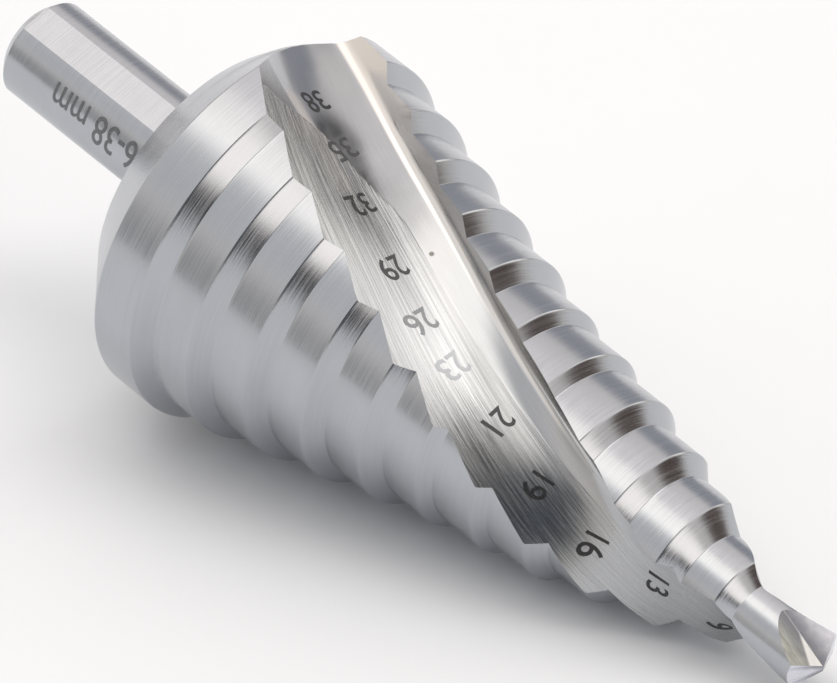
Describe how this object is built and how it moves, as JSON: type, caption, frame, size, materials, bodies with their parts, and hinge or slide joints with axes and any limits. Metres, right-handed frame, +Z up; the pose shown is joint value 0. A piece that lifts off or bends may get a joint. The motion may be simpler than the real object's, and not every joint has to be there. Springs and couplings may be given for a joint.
{
  "type": "step drill",
  "caption": "Fluted step drill for sheet metal, stepped from 9 to 38 mm, with a 6 mm split point and a round shank with flats.",
  "frame": {"origin": "middle of the bounding box's base, on the floor that the drill lies on", "axes": "the drill's axis lies in the XZ plane, the point towards +X and a little down, the shank end towards -X; +Z up from the floor"},
  "size_m": [0.0988, 0.0376, 0.0364],
  "materials": {
    "steel": "ground and polished"
  },
  "bodies": {
    "root": {"step_drill": "steel"}
  },
  "joints": []
}
